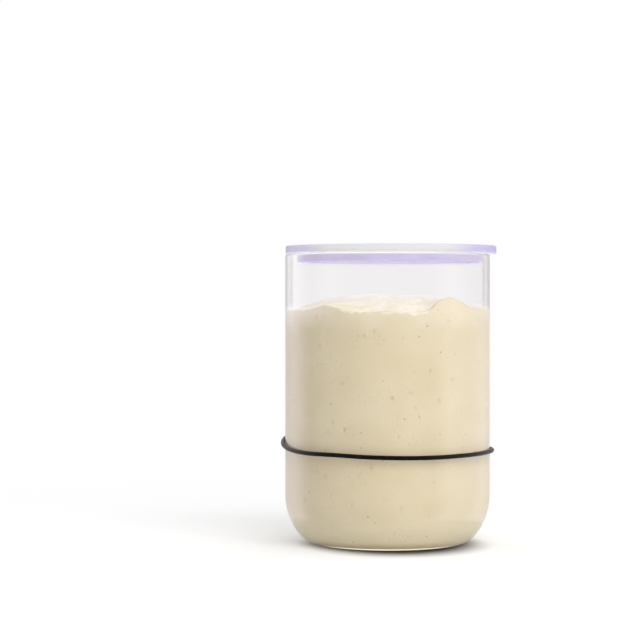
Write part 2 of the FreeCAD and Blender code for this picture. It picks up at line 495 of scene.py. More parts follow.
# Painted glow at the foot, by height, by distance about the foot's radius and by how far the surface turns
# away, and at the rim and its crest, by height about the rim's top
FOOT_GLOW_START_RANGE = (0.1 * MM, 0.5 * MM)
FOOT_GLOW_END_RANGE = (0.75 * MM, 1.3 * MM)
FOOT_GLOW_OUT_RANGE = (-1 * MM, 0)
FOOT_GLOW_TURN_RANGE = (0.78, 0.92)
RIM_GLOW_RANGE = (-0.8 * MM, -0.5 * MM)
CREST_GLOW_RANGE = (-0.40 * MM, -0.10 * MM)

# Painted shade of the empty glass: by height about the fill line, and by how far the wall turns away
EMPTY_RANGE = (-2 * MM, 3 * MM)
SIDE_SHADE_RANGE = (0.15, 0.65)
EDGE_SHADE_RANGE = (0.68, 0.82)


def glass_finish(jar):
    """Clear glass: it bends what is behind it, darkens with depth, and lets the lamps through.

    Faint smears dull it, and a slow ripple of the wall bends what is seen. Where nothing fills it, painted
    shade darkens the wall as it turns away. A painted glow, which stands in for light that runs along inside
    the glass, comes out at the rim, most on the rim's top, and as a thin bright line at the edge of the foot.
    """
    material, sheet = finish_sheet("clear glass")
    place = sheet.place()
    height = sheet.axis(place, "Z")
    away = sheet.turned_away()
    smear = sheet.noise(place, *SMEARS).between(*SMEAR_RANGE)
    ripple = sheet.noise(place, *WALL_RIPPLE)
    foot = height.between(*FOOT_GLOW_START_RANGE) * (1 - height.between(*FOOT_GLOW_END_RANGE))
    foot = foot * sheet.span(place).about(foot_radius(jar), FOOT_GLOW_OUT_RANGE)
    foot = foot * (1 - away.between(*FOOT_GLOW_TURN_RANGE))
    # Painted glow at the foot, at the rim and on the rim's top
    glow = sheet.blend(foot, BLACK, jar.painted_foot_glow)
    glow = sheet.blend(height.about(jar.height, RIM_GLOW_RANGE), glow, jar.painted_rim_glow)
    glow = sheet.blend(height.about(jar.height, CREST_GLOW_RANGE), glow, jar.painted_crest_glow)
    empty = height.about(jar.fill_line, EMPTY_RANGE)
    # Painted shade: the empty wall darkens as it turns away
    passed = sheet.blend(away.between(*SIDE_SHADE_RANGE) * empty, jar.tint, jar.painted_side_shade)
    passed = sheet.blend(away.between(*EDGE_SHADE_RANGE) * empty, passed, jar.painted_edge_shade)
    body = sheet.body({
        "Base Color": passed,
        "Roughness": smear * SMEAR_ROUGHNESS,
        "IOR": GLASS_INDEX,
        "Transmission Weight": 1.0,
        "Normal": sheet.bump(ripple, WALL_RIPPLE_DEPTH),
        "Emission Color": glow,
        "Emission Strength": 1.0,
    })
    inside = sheet.node("ShaderNodeVolumeAbsorption", None, {
        "Color": jar.depth_tint, "Density": jar.density})
    sheet.end(sheet.passing(body, jar.tint), inside)
    return material


# Plastic: its clouds, its grain, its gloss, and the tint of what passes it
PLASTIC_INDEX = 1.49
PLASTIC_CLOUD_SIZE = 12 * MM
PLASTIC_GRAIN_SIZE = 0.6 * MM
PLASTIC_GRAIN_DEPTH = 0.003 * MM
PLASTIC_GLOSS = (0.22, 0.12)
PLASTIC_PASSES = (0.97, 0.965, 0.98)

# Faces of the lid: upright ones by the level part of their normal, outside the pocket by distance about the
# plug's radius, above the lip by height about the ring's foot, the flange and its side above the lowest part
# by height about the ring's top, and the right end by distance towards +X
UPRIGHT_RANGE = (0.2, 0.7)
PLUG_RANGE = (-1.5 * MM, -0.5 * MM)
ABOVE_LIP_RANGE = (-0.1 * MM, 0.1 * MM)
FLANGE_RANGE = (-0.2 * MM, 0.1 * MM)
FLANGE_SIDE_RANGE = (0.1 * MM, 1.3 * MM)
RIGHT_END_RANGE = (20 * MM, 36 * MM)

# Haze of those faces, and lavender painted on them for the ring's colour seen through the plastic
FLAT_HAZE = 0.3
FLAT_LAVENDER = 0.25
RIGHT_END_LAVENDER = 0.08
LAVENDER_RANGE = (0.06, 0.62)
LIP_LAVENDER = 0.3
CLOUD_LAVENDER = 0.1
LAVENDER_HAZE = 0.5
UNDERSIDE_CLEARNESS = 0.9
LIP_CLEARNESS = 1.2
INSIDE_CLEARNESS = 0.75


def plastic_finish(lid):
    """Milky clear plastic: a pale haze, which is thicker and painted lavender where the flange's side turns
    away.

    The painted lavender stands in for the ring's colour seen through the flange, and reaches further in at
    the right end. Flat faces, the pocket, the flange's lowest part, the lip and faces seen from inside have
    less haze, and the lip is painted with a little of the ring's colour.
    """
    material, sheet = finish_sheet("clear plastic")
    place = sheet.place()
    height = sheet.axis(place, "Z")
    cloud = sheet.noise(place, PLASTIC_CLOUD_SIZE)
    grain = sheet.noise(place, PLASTIC_GRAIN_SIZE)
    inside = sheet.node("ShaderNodeNewGeometry", output="Backfacing")
    normal = sheet.node("ShaderNodeNewGeometry", output="Normal")
    outward = sheet.vector("MULTIPLY", normal, LEVEL)
    from_axis = sheet.vector("MULTIPLY", sheet.vector("SUBTRACT", place, (LID_AXIS, 0, 0)), LEVEL)
    upright = sheet.span(outward).between(*UPRIGHT_RANGE)
    upright = upright * sheet.span(from_axis).about(plug_radius(lid), PLUG_RANGE)
    lip = 1 - height.about(RING_LOW.z, ABOVE_LIP_RANGE)
    flange = height.about(RING_HIGH.z, FLANGE_RANGE)
    underside = flange * (1 - height.about(RING_HIGH.z, FLANGE_SIDE_RANGE))
    right_end = sheet.axis(place, "X").between(*RIGHT_END_RANGE)
    away = sheet.turned_away(sheet.vector("NORMALIZE", outward)) + RIGHT_END_LAVENDER * right_end
    away = away * flange * upright.raised(FLAT_LAVENDER)
    # Painted lavender, for the ring's colour seen through the flange and on the lip
    lavender = away.between(*LAVENDER_RANGE) + lip * LIP_LAVENDER + cloud * CLOUD_LAVENDER
    haze = lid.haze * upright.raised(FLAT_HAZE) * (1 - UNDERSIDE_CLEARNESS * underside)
    haze = haze + away * away * LAVENDER_HAZE
    body = sheet.body({
        "Base Color": sheet.blend(lavender.between(0, 1), lid.plastic, lid.painted_ring_lavender),
        "Roughness": grain.over(*PLASTIC_GLOSS),
        "IOR": PLASTIC_INDEX,
        "Alpha": haze * (1 - inside.most(lip * LIP_CLEARNESS) * INSIDE_CLEARNESS),
        "Normal": sheet.bump(grain, PLASTIC_GRAIN_DEPTH),
    })
    sheet.end(sheet.passing(body, PLASTIC_PASSES))
    return material


# Starter: its gloss and its skin
STARTER_INDEX = 1.36
STARTER_SHINE = 0.2
STARTER_GLOSS = (0.42, 0.2)
STARTER_GRAIN_SIZE = 1.6 * MM
PORE_SIZE = 0.9 * MM
PORE_RANGE = (0.15, 0.45)
PORE_RELIEF = 0.6
GRAIN_RELIEF = 0.4
SKIN_DEPTH = 0.05 * MM
SKIN_STRENGTH = 0.3

# Colours of the starter: paler clouds; painted light on the edge by height about the base line, full on the
# left by distance towards +X; and painted light in the heel and painted shade at the toe, by height
CLOUDS = (16 * MM, 3.0)
CLOUD_RANGE = (0.35, 0.7)
CLOUD_PALENESS = 0.7
GRAIN_PALENESS = 0.2
CREST_RANGE = (-8 * MM, 5 * MM)
CREST_CLOUD_RISE = 3 * MM
CREST_LEAST = 0.3
RIGHT_OF_LEFT_RANGE = (-38 * MM, -22 * MM)
ABOVE_HEEL_RANGE = (3 * MM, 20 * MM)
HEEL_PAINTED_LIGHT = 0.4
ABOVE_TOE_RANGE = (2.5 * MM, 5.5 * MM)
TOE_PAINTED_SHADE = 0.3

# Colours of its crown, by height about the base line and by distance from the axis. Froth clings to the glass
# down to a ragged line that goes up and down with the curds.
AIRY_RANGE = (-4 * MM, 0)
CROWN_END_RANGE = (44.0 * MM, 45.3 * MM)
CURDS = (5 * MM, 3.0)
CURD_LEVEL = 0.42
CURD_RISE = 7 * MM
FROTH_LINE_RANGE = (-0.5 * MM, 0.5 * MM)
FROTH_ON_GLASS = 0.6
SHOULDER_RANGE = (20 * MM, 36 * MM)
SHOULDER_LESS_AT_LEFT = 0.5
PATCH_SIZE = 8 * MM
PATCH_RANGE = (0.42, 0.60)
PATCH_LEAST = 0.3

# Dark specks: flecks of bran in a few cells, and painted shade in swarms of small bubbles and in the pits of
# the mesh
FLECK_CELL = 3.2 * MM
OFF_FLECK_RANGE = (0.09, 0.20)
FLECK_CHANCE_RANGE = (0.86, 0.88)
FLECK_DARKNESS = 0.7
FLECK_LESS_ON_CROWN = 0.5
BUBBLE_CELL = 1.7 * MM
BUBBLE_INNER_RANGE = (0.10, 0.18)
BUBBLE_OUTER_RANGE = (0.24, 0.34)
BUBBLE_PAINTED_SHADE = 0.22
SWARMS = (11 * MM, 1.0)
SWARM_RANGE = (0.52, 0.66)
HOLLOW_PAINTED_SHADE = 0.35


def starter_finish(starter):
    """Risen batter: cream with paler clouds, painted light up the glass and in the heel, painted shade at the
    toe.

    Its crown is airy froth, which yellows in patches towards the shoulder, and clings to the glass where the
    edge lies low. Flecks of bran are darker, painted shade darkens swarms of bubbles and the pits, and the
    skin has fine pores.
    """
    material, sheet = finish_sheet("risen starter")
    place = sheet.place()
    grain = sheet.noise(place, STARTER_GRAIN_SIZE)
    cream, airy = starter_cream(sheet, place, grain, starter)
    pore = sheet.cells(place, PORE_SIZE).between(*PORE_RANGE)
    body = sheet.body({
        "Base Color": sheet.blend(starter_specks(sheet, place, airy), cream, starter.bran),
        "Roughness": grain.over(*STARTER_GLOSS),
        "IOR": STARTER_INDEX,
        "Specular IOR Level": STARTER_SHINE,
        "Normal": sheet.bump(pore * PORE_RELIEF + grain * GRAIN_RELIEF, SKIN_DEPTH, SKIN_STRENGTH),
    })
    sheet.end(body)
    return material


def starter_cream(sheet, place, grain, starter):
    """The starter's colour before its specks, and where it is airy."""
    height = sheet.axis(place, "Z")
    out = sheet.span(sheet.vector("MULTIPLY", place, LEVEL))
    left = 1 - sheet.axis(place, "X").between(*RIGHT_OF_LEFT_RANGE)
    clouds = sheet.noise(place, *CLOUDS).between(*CLOUD_RANGE)
    cream = sheet.blend(clouds * CLOUD_PALENESS + grain * GRAIN_PALENESS, starter.body, starter.pale)
    edge = (height + clouds * CREST_CLOUD_RISE).about(starter.base_line, CREST_RANGE)
    # Painted light below the edge, full on the left and less elsewhere
    cream = sheet.blend(edge * left.raised(CREST_LEAST), cream, starter.crest)
    # Painted light in the heel, in the shoulder's colour
    cream = sheet.blend((1 - height.between(*ABOVE_HEEL_RANGE)) * HEEL_PAINTED_LIGHT, cream, starter.shoulder)
    # Painted shade at the toe, in the colour of bran
    cream = sheet.blend((1 - height.between(*ABOVE_TOE_RANGE)) * TOE_PAINTED_SHADE, cream, starter.bran)
    curd_line = (sheet.noise(place, *CURDS) - CURD_LEVEL) * CURD_RISE
    clinging = 1 - (sheet.kept(UNDER_NAME) - curd_line).between(*FROTH_LINE_RANGE)
    airy = height.about(starter.base_line, AIRY_RANGE) * (1 - out.between(*CROWN_END_RANGE))
    airy = airy.most(clinging * FROTH_ON_GLASS)
    patch = sheet.noise(place, PATCH_SIZE).between(*PATCH_RANGE).raised(PATCH_LEAST)
    shoulder = out.between(*SHOULDER_RANGE) * (1 - SHOULDER_LESS_AT_LEFT * left) * patch
    return sheet.blend(airy, cream, sheet.blend(shoulder, starter.froth, starter.shoulder)), airy


def starter_specks(sheet, place, airy):
    """How dark the starter's flecks of bran are, with the painted shade of its bubbles and pits."""
    lot = sheet.cells(place, FLECK_CELL, "Color")
    drawn = sheet.node("ShaderNodeSeparateColor", None, {"Color": lot}, "Red").between(*FLECK_CHANCE_RANGE)
    fleck = (1 - sheet.cells(place, FLECK_CELL).between(*OFF_FLECK_RANGE)) * drawn
    swarm = sheet.noise(place, *SWARMS).between(*SWARM_RANGE)
    bubble = sheet.cells(place, BUBBLE_CELL)
    bubble = bubble.between(*BUBBLE_INNER_RANGE) * (1 - bubble.between(*BUBBLE_OUTER_RANGE)) * swarm
    dark = fleck * (FLECK_DARKNESS - FLECK_LESS_ON_CROWN * airy)
    # Painted shade in the pits and bubbles, beside the flecks of bran
    return dark.most(sheet.kept(HOLLOW_NAME) * HOLLOW_PAINTED_SHADE).most(bubble * BUBBLE_PAINTED_SHADE)


# Silicone: its streaks, its skin and its gloss
SILICONE_INDEX = 1.2
SILICONE_CLEARNESS = 0.88
STREAK_SIZE = 9 * MM
STREAK_RANGE = (0.3, 0.7)
STREAK_DEEPENS = 0.9
SILICONE_SKIN_SIZE = 0.5 * MM
SILICONE_SKIN_DEPTH = 0.005 * MM
SILICONE_GLOSS = (0.34, 0.16)


def silicone_finish(lid):
    """Translucent lavender silicone, with faint, deeper streaks, a satin skin and a painted glow for
    scattered light.
    """
    material, sheet = finish_sheet("lavender silicone")
    place = sheet.place()
    streaks = sheet.noise(place, STREAK_SIZE).between(*STREAK_RANGE)
    skin = sheet.noise(place, SILICONE_SKIN_SIZE)
    deep = tuple(part * STREAK_DEEPENS for part in lid.silicone)
    body = sheet.body({
        "Base Color": sheet.blend(streaks, lid.silicone, deep),
        "Roughness": skin.over(*SILICONE_GLOSS),
        "IOR": SILICONE_INDEX,
        "Transmission Weight": SILICONE_CLEARNESS,
        # Painted glow, for light that scatters through the ring
        "Emission Color": lid.painted_silicone_glow,
        "Emission Strength": 1.0,
        "Normal": sheet.bump(skin, SILICONE_SKIN_DEPTH),
    })
    sheet.end(sheet.passing(body, lid.silicone))
    return material


# Elastic: its dust, its grain and its gloss
RUBBER_INDEX = 1.52
RUBBER_SHINE = 0.11
DUST = (5 * MM, 4.0, 0.65)
DUST_RANGE = (0.45, 0.75)
RUBBER_GRAIN_SIZE = 0.35 * MM
RUBBER_GRAIN_DEPTH = 0.03 * MM
RUBBER_ROUGHNESS = 0.30
DUST_ROUGHNESS = 0.15
RUBBER_GRAIN_ROUGHNESS = 0.08


def rubber_finish(band):
    """Black elastic: matt, with a fine grain, and greyer where it is dusty and worn."""
    material, sheet = finish_sheet("black elastic")
    place = sheet.place()
    dust = sheet.noise(place, *DUST).between(*DUST_RANGE)
    grain = sheet.noise(place, RUBBER_GRAIN_SIZE)
    body = sheet.body({
        "Base Color": sheet.blend(dust, band.rubber, band.worn),
        "Roughness": RUBBER_ROUGHNESS + dust * DUST_ROUGHNESS + grain * RUBBER_GRAIN_ROUGHNESS,
        "IOR": RUBBER_INDEX,
        "Specular IOR Level": RUBBER_SHINE,
        "Normal": sheet.bump(grain, RUBBER_GRAIN_DEPTH),
    })
    sheet.end(body)
    return material


# Table: the shade under the heel, how much of it mirrors show, and the distances from the jar's axis at which
# the top turns into the backdrop's white and at which mirrors lose it
CONTACT_MIDDLE = (4 * MM, -6 * MM, 0)
CONTACT_STRETCH = (1.25, 1, 1)
CONTACT_RANGE = (30 * MM, 58.5 * MM)
CONTACT_IN_MIRRORS = 0.5
BACKDROP_RANGE = (0.14, 0.46)
BACKDROP_LEAST = 0.06
MIRROR_END_RANGE = (34 * MM, 75 * MM)


def table_finish(stage):
    """White table top: near the jar it takes light and shadow, and further out it is the backdrop's white.

    It is dark where the heel comes down to it, to the camera in full, in mirrors by half, and not to matt
    light. Mirrors see it only near the jar, and the room from there on.
    """
    material, sheet = finish_sheet("white table")
    place = sheet.place()
    out = sheet.span(place)
    aside = sheet.vector("SUBTRACT", place, CONTACT_MIDDLE)
    lit = sheet.span(sheet.vector("MULTIPLY", aside, CONTACT_STRETCH)).between(*CONTACT_RANGE)
    mirrored = sheet.mirrored()
    shade = (CONTACT_IN_MIRRORS * mirrored).most(sheet.ray("Camera"))
    paper = sheet.node("ShaderNodeBsdfDiffuse", None, {
        "Color": sheet.blend(lit.most(1 - shade), stage.contact, stage.table)})
    white = sheet.node("ShaderNodeEmission", None, {"Color": WHITE, "Strength": 1.0})
    backdrop = out.between(*BACKDROP_RANGE).raised(BACKDROP_LEAST) * lit
    top = sheet.either(backdrop * sheet.ray("Camera", "Transmission"), paper, white)
    sheet.end(sheet.either(mirrored * out.between(*MIRROR_END_RANGE), top, sheet.clear(WHITE)))
    return material


def arc(centre, radius, start, end, steps):
    """Points of a circular arc between two angles, as (distance from the axis, height)."""
    angle = np.linspace(start, end, steps)
    return np.column_stack((centre[0] + radius * np.cos(angle), centre[1] + radius * np.sin(angle)))


def heel(wall_radius, foot, floor, straight, toe):
    """Outline of a heel: two arcs, tangent to the flat floor, to each other and to the straight wall.

    With a width w from foot to wall and a rise h from the toe's centre to the straight wall, the flank's
    radius is (w^2 + h^2 - toe^2) / (2 (w - toe)).
    """
    width = wall_radius - foot
    rise = straight - floor - toe
    flank = (width**2 + rise**2 - toe**2) / (2 * (width - toe))
    toe_centre = (foot, floor + toe)
    flank_centre = (wall_radius - flank, straight)
    lean = math.atan2(toe_centre[1] - flank_centre[1], toe_centre[0] - flank_centre[0])
    toe_points = arc(toe_centre, toe, -QUARTER_TURN, lean, HEEL_STEPS)
    return np.vstack((toe_points, arc(flank_centre, flank, lean, 0, HEEL_STEPS)[1:]))


def rounded(corners, closed):
    """Outline through corners, each (distance from the axis, height, rounding), with an arc at each.

    A support point a little way along the flats beside each arc keeps them flat under smooth shading. An
    open outline keeps its two ends as they are.
    """
    spots = np.array([corner[:2] for corner in corners])
    outline = []
    for index, (_, _, rounding) in enumerate(corners):
        here = spots[index]
        if not closed and index in (0, len(corners) - 1):
            outline.append(here[None])
            continue
        back, ahead = spots[index - 1] - here, spots[(index + 1) % len(corners)] - here
        back, ahead = back / np.linalg.norm(back), ahead / np.linalg.norm(ahead)
        half = math.acos(back @ ahead) / 2
        middle = (back + ahead) / np.linalg.norm(back + ahead)
        centre = here + middle * rounding / math.sin(half)
        reach = rounding / math.tan(half)
        start, end = here + back * reach - centre, here + ahead * reach - centre
        first = math.atan2(start[1], start[0])
        sweep = math.remainder(math.atan2(end[1], end[0]) - first, FULL_TURN)
        support = rounding * SUPPORT_SHARE
        outline.append((centre + start + back * support)[None])
        outline.append(arc(centre, rounding, first, first + sweep, ROUNDING_STEPS))
        outline.append((centre + end + ahead * support)[None])
    return np.vstack(outline)


def turned(outline, axis=0.0):
    """Grid of an outline carried once round a vertical axis at x: (x + r cos a, r sin a, z)."""
    angle = np.linspace(0, FULL_TURN, TURN_STEPS, endpoint=False)
    radius, height = outline[:, :1], outline[:, 1:]
    return np.stack((axis + radius * np.cos(angle), radius * np.sin(angle), height + 0 * angle), axis=-1)


def bell(distance, half_width):
    """A smooth bump, 1 at its middle: exp(-(distance / half width)^2 / 2)."""
    return np.exp(-((distance / half_width) ** 2) / 2)


def swells(angle, table):
    """Sum of swells round the jar: each is its rise times a bell of the turn from its angle."""
    total = np.zeros_like(angle)
    for middle, rise, width in table:
        turn = (angle - middle + 180) % 360 - 180
        total += rise * bell(turn, width)
    return total


def from_front(turn):
    """Degrees from the front, for a turn in radians from +X."""
    return np.degrees(turn) + 90


def crown_share(across, along):
    """Height of the starter's top over its base line, as a share of the crown's rise.

    At a share s of the radius it is the dome's 1 - s^2.4, plus the edge's swells times s^4, plus the lumps.
    """
    out = np.hypot(across, along)
    angle = np.degrees(np.arctan2(across, -along))
    total = 1 - out**CROWN_FALL_POWER + swells(angle, STARTER_SWELLS) * out**SWELL_POWER
    for x, y, width, rise in STARTER_LUMPS:
        total += rise * bell(np.hypot(across - x, along - y), width)
    return total


def ripples(points, wavelength, seed):
    """Soft random relief, about -1 to 1: a sum of sine waves of random direction, phase and near length."""
    dice = np.random.default_rng(seed)
    heading = dice.normal(size=(RELIEF_WAVES, 3))
    heading /= np.linalg.norm(heading, axis=1, keepdims=True)
    waves = heading * (FULL_TURN / (wavelength * dice.uniform(*RELIEF_WAVE_SPREAD, (RELIEF_WAVES, 1))))
    phases = dice.uniform(0, FULL_TURN, RELIEF_WAVES)
    return np.sin(points @ waves.T + phases).sum(axis=-1) * math.sqrt(2 / RELIEF_WAVES)


def relief(points, table):
    """Sum of ripples, each times its height."""
    return sum(height * ripples(points, wavelength, seed) for height, wavelength, seed in table)


def hollows(points, centres, radii, depths):
    """Depth of round pits: the deepest of depth * (1 - (distance / radius)^2)^2, each inside its radius."""
    deepest = np.zeros(points.shape[:-1])
    for centre, radius, depth in zip(centres, radii, depths):
        near = np.clip(1 - ((points - centre) ** 2).sum(axis=-1) / radius**2, 0, None)
        deepest = np.maximum(deepest, depth * near**2)
    return deepest


def grid_mesh(name, points, ring):
    """Mesh of a grid of points, whose columns go round and meet.

    On a ring the last row meets the first. Otherwise the first and last rows are poles on the axis, each
    closed by a fan.
    """
    rows, columns = points.shape[:2]
    column = np.arange(columns)
    beside = np.roll(column, -1)
    if ring:
        vertices = points.reshape(-1, 3)
        start = columns * np.arange(rows)[:, None]
        above = np.roll(start, -1, axis=0)
        fans = []
    else:
        vertices = np.vstack((points[:1, 0], points[1:-1].reshape(-1, 3), points[-1:, 0]))
        start = 1 + columns * np.arange(rows - 3)[:, None]
        above = start + columns
        last = 1 + columns * (rows - 3)
        under = np.column_stack((np.zeros_like(column), 1 + beside, 1 + column))
        over = np.column_stack((last + column, last + beside, np.full_like(column, last + columns)))
        fans = np.vstack((under, over)).tolist()
    quads = np.stack((start + column, start + beside, above + beside, above + column), axis=-1).reshape(-1, 4)
    mesh = bpy.data.meshes.new(name)
    mesh.from_pydata(vertices.tolist(), [], quads.tolist() + fans)
    mesh.polygons.foreach_set("use_smooth", np.ones(len(mesh.polygons), dtype=bool))
    mesh.update()
    if mesh.validate():
        raise RuntimeError(f"{name} has faces that cannot be")
    return mesh


def mark(mesh, name, values):
    """Keeps one value for each point of a grid that ends in poles, as an attribute of its mesh."""
    flat = np.concatenate((values[:1, 0], values[1:-1].ravel(), values[-1:, 0]))
    mesh.attributes.new(name, "FLOAT", "POINT").data.foreach_set("value", flat.astype(np.float32))


def put(name, points, ring, material, node):
    """Makes one piece from its grid, in place of a CAD node and on that node's body."""
    piece = bpy.data.objects.new(name, grid_mesh(name, points, ring))
    piece.data.materials.append(material)
    bpy.context.scene.collection.objects.link(piece)
    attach(piece, frame["nodes"][node]["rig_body"])
    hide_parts(node)
    return piece


def foot_radius(jar):
    """Radius of the foot's outer edge, where the heel starts."""
    return jar.radius - jar.heel_width


def plug_radius(lid):
    """Radius of the lid's plug, under the ring."""
    return RING_HIGH.x - LID_AXIS - lid.ring_width


def glass_outline(jar):
    """Half section of the jar, from the middle of its underside round by the rim to that of its floor.

    The push-up is a cap of a sphere, whose radius is (half width^2 + rise^2) / (2 rise). The heel is two arcs
    outside and two inside, and the rim a quarter circle on each side.
    """
    foot = foot_radius(jar)
    hollow = foot - jar.foot_width
    sphere = (hollow**2 + jar.push_up**2) / (2 * jar.push_up)
    sweep = math.asin(hollow / sphere)
    under = arc((0, jar.push_up - sphere), sphere, QUARTER_TURN, QUARTER_TURN - sweep, HEEL_STEPS)
    bore = jar.radius - jar.wall
    rounding = jar.rim_rounding
    rim_height = jar.height - rounding
    outer_rim = arc((jar.radius - rounding, rim_height), rounding, 0, QUARTER_TURN, ROUNDING_STEPS)
    inner_rim = arc((bore + rounding, rim_height), rounding, QUARTER_TURN, 2 * QUARTER_TURN, ROUNDING_STEPS)
    support = rounding * SUPPORT_SHARE
    return np.vstack((
        under,
        heel(jar.radius, foot, 0, jar.heel_height, jar.toe),
        (jar.radius, jar.heel_height + support),
        (jar.radius, rim_height - support),
        outer_rim,
        inner_rim,
        (bore, rim_height - support),
        (bore, jar.heel_height + support),
        heel(bore, foot, jar.floor, jar.heel_height, jar.toe - jar.floor)[::-1],
        (foot - support, jar.floor),
        (0, jar.floor),
    ))


def starter_grid(jar, starter):
    """Grid of the starter: floor, heel and wall against the glass, then a dome. Also what its mesh keeps.

    The wall's rows climb from the heel to the dome's edge, and the dome's height is base line + rise *
    crown_share. At a share s of the radius, the edge's unevenness adds s^26 of its height to the dome, and
    the dome's ripples add 1 - s^8 of theirs. Pits sink into the wall and the dome.
    """
    bore = jar.radius - jar.wall + starter.wetting
    floor = jar.floor - starter.wetting
    foot = foot_radius(jar)
    turn = np.linspace(0, FULL_TURN, STARTER_TURN_STEPS, endpoint=False)
    across, along = np.cos(turn), np.sin(turn)
    uneven = relief(bore * np.column_stack((across, along, 0 * turn)), EDGE_RELIEF)
    edge = starter.base_line + starter.crown_rise * crown_share(across, along) + uneven
    flat = np.linspace(0, foot, STARTER_FLOOR_STEPS, endpoint=False)
    bottom = np.vstack((
        np.column_stack((flat, np.full_like(flat, floor))),
        heel(bore, foot, floor, jar.heel_height, jar.toe - floor),
    ))
    climb = np.linspace(0, 1, STARTER_WALL_STEPS + 1)[1:, None]
    wall_height = jar.heel_height + climb * (edge - jar.heel_height)
    inward = 1 - np.linspace(0, 1, STARTER_CROWN_STEPS + 1)[1:, None] ** STARTER_CROWN_SPREAD
    dome_height = starter.base_line + starter.crown_rise * crown_share(inward * across, inward * along)
    dome_height += uneven * inward**UNEVEN_POWER
    around = np.ones_like(turn)
    radius = np.vstack((bottom[:, :1] * around, bore + 0 * wall_height, bore * inward * around))
    height = np.vstack((bottom[:, 1:] * around, wall_height, dome_height))
    points = np.stack((radius * across, radius * along, height), axis=-1)
    crown_rows = slice(len(bottom) + STARTER_WALL_STEPS, None)
    dome = points[crown_rows]
    dome[..., 2] += (1 - inward**RIPPLE_POWER) * relief(dome, DOME_RELIEF)
    under = edge - height
    under[crown_rows] = 0
    under += FROTH_PUT_OFF * np.interp(swells(from_front(turn), STARTER_SWELLS), FROTH_SWELL_RANGE, (0, 1))
    return points, {HOLLOW_NAME: sink_pits(points, crown_rows, bore, starter), UNDER_NAME: under}


def sink_pits(points, crown_rows, bore, starter):
    """Sinks bubbles into the starter: inwards on the wall, and straight down on the dome.

    Gives back each point's depth, as a share of the deepest pit's.
    """
    dice = np.random.default_rng(PIT_SEED)
    turn = dice.uniform(0, FULL_TURN, starter.pits)
    wall_height = dice.uniform(PIT_LOWEST, starter.base_line - PIT_UNDER_BASE_LINE, starter.pits)
    centres = np.column_stack((bore * np.cos(turn), bore * np.sin(turn), wall_height))
    radii = dice.uniform(*WALL_PIT_RADII, starter.pits)
    wall = points[:crown_rows.start]
    wall_depth = hollows(wall, centres, radii, radii * dice.uniform(*WALL_PIT_DEPTHS, starter.pits))
    out = np.linalg.norm(wall[..., :2], axis=-1, keepdims=True)
    wall[..., :2] *= 1 - wall_depth[..., None] / np.maximum(out, MM)
    dome = points[crown_rows]
    count = starter.pits // WALL_PITS_PER_DOME_PIT
    out = dice.uniform(0, 1, count) ** 0.5 * DOME_PIT_REACH * bore
    turn = dice.uniform(0, FULL_TURN, count)
    centres = np.column_stack((out * np.cos(turn), out * np.sin(turn), np.zeros(count)))
    centres = np.vstack((centres, np.array([(x, y, 0) for x, y, _ in DOME_HOLES]) * bore))
    radii = np.append(dice.uniform(*DOME_PIT_RADII, count), [radius for _, _, radius in DOME_HOLES])
    dome_depth = hollows(dome * LEVEL, centres, radii, radii * dice.uniform(*DOME_PIT_DEPTHS, len(radii)))
    dome[..., 2] -= dome_depth
    depths = np.concatenate((wall_depth, dome_depth))
    return depths / depths.max()


def lid_outline(lid, jar):
    """Half section of the lid, from the middle of its pocket's roof round by the flange to its top."""
    plug = plug_radius(lid)
    pocket = plug - lid.plug_wall
    return rounded((
        (0, lid.top - lid.roof, 0),
        (pocket, lid.top - lid.roof, lid.pocket_rounding),
        (pocket, LID_LOW.z, lid.lip_rounding),
        (plug + lid.lip, LID_LOW.z, lid.lip_rounding),
        (plug + lid.lip, RING_LOW.z, lid.lip_rounding),
        (plug, RING_LOW.z, lid.corner),
        (plug, jar.height, lid.corner),
        (lid.flange_radius, jar.height, lid.edge_rounding),
        (lid.flange_radius, lid.top, lid.edge_rounding),
        (0, lid.top, 0),
    ), closed=False)


def ring_outline(lid):
    """Section of the silicone ring, rounded outside and square against the plug."""
    inner = plug_radius(lid) - lid.bond
    outer = RING_HIGH.x - LID_AXIS
    return rounded((
        (inner, RING_LOW.z, lid.corner),
        (outer, RING_LOW.z, lid.ring_rounding),
        (outer, RING_HIGH.z + lid.bond, lid.ring_rounding),
        (inner, RING_HIGH.z + lid.bond, lid.corner),
    ), closed=True)


def band_grid(jar, band):
    """Grid of the band: a circle of the elastic's radius, carried round at low line + swells(angle)."""
    turn = np.linspace(0, FULL_TURN, BAND_STEPS, endpoint=False)
    section = np.linspace(0, FULL_TURN, CORD_STEPS, endpoint=False)[:, None]
    cord = band.thickness / 2
    radius = jar.radius + band.gap + cord + cord * np.cos(section) + 0 * turn
    height = band.low_line + swells(from_front(turn), BAND_SWELLS) + cord * np.sin(section)
    return np.stack((radius * np.cos(turn), radius * np.sin(turn), height), axis=-1)


def lay_table(stage):
    """A thin round table top just under the foot: the outline of its top, edge and underside, turned."""
    outline = np.array((
        (0, 0),
        (stage.table_radius * TABLE_MIDDLE_RING, 0),
        (stage.table_radius, 0),
        (stage.table_radius * TABLE_UNDERSIDE, -TABLE_THICKNESS),
        (0, -TABLE_THICKNESS),
    ))
    points = turned(outline - (0, TABLE_GAP))
    table = bpy.data.objects.new("table_top", grid_mesh("table_top", points[::-1], False))
    table.data.materials.append(table_finish(stage))
    bpy.context.scene.collection.objects.link(table)


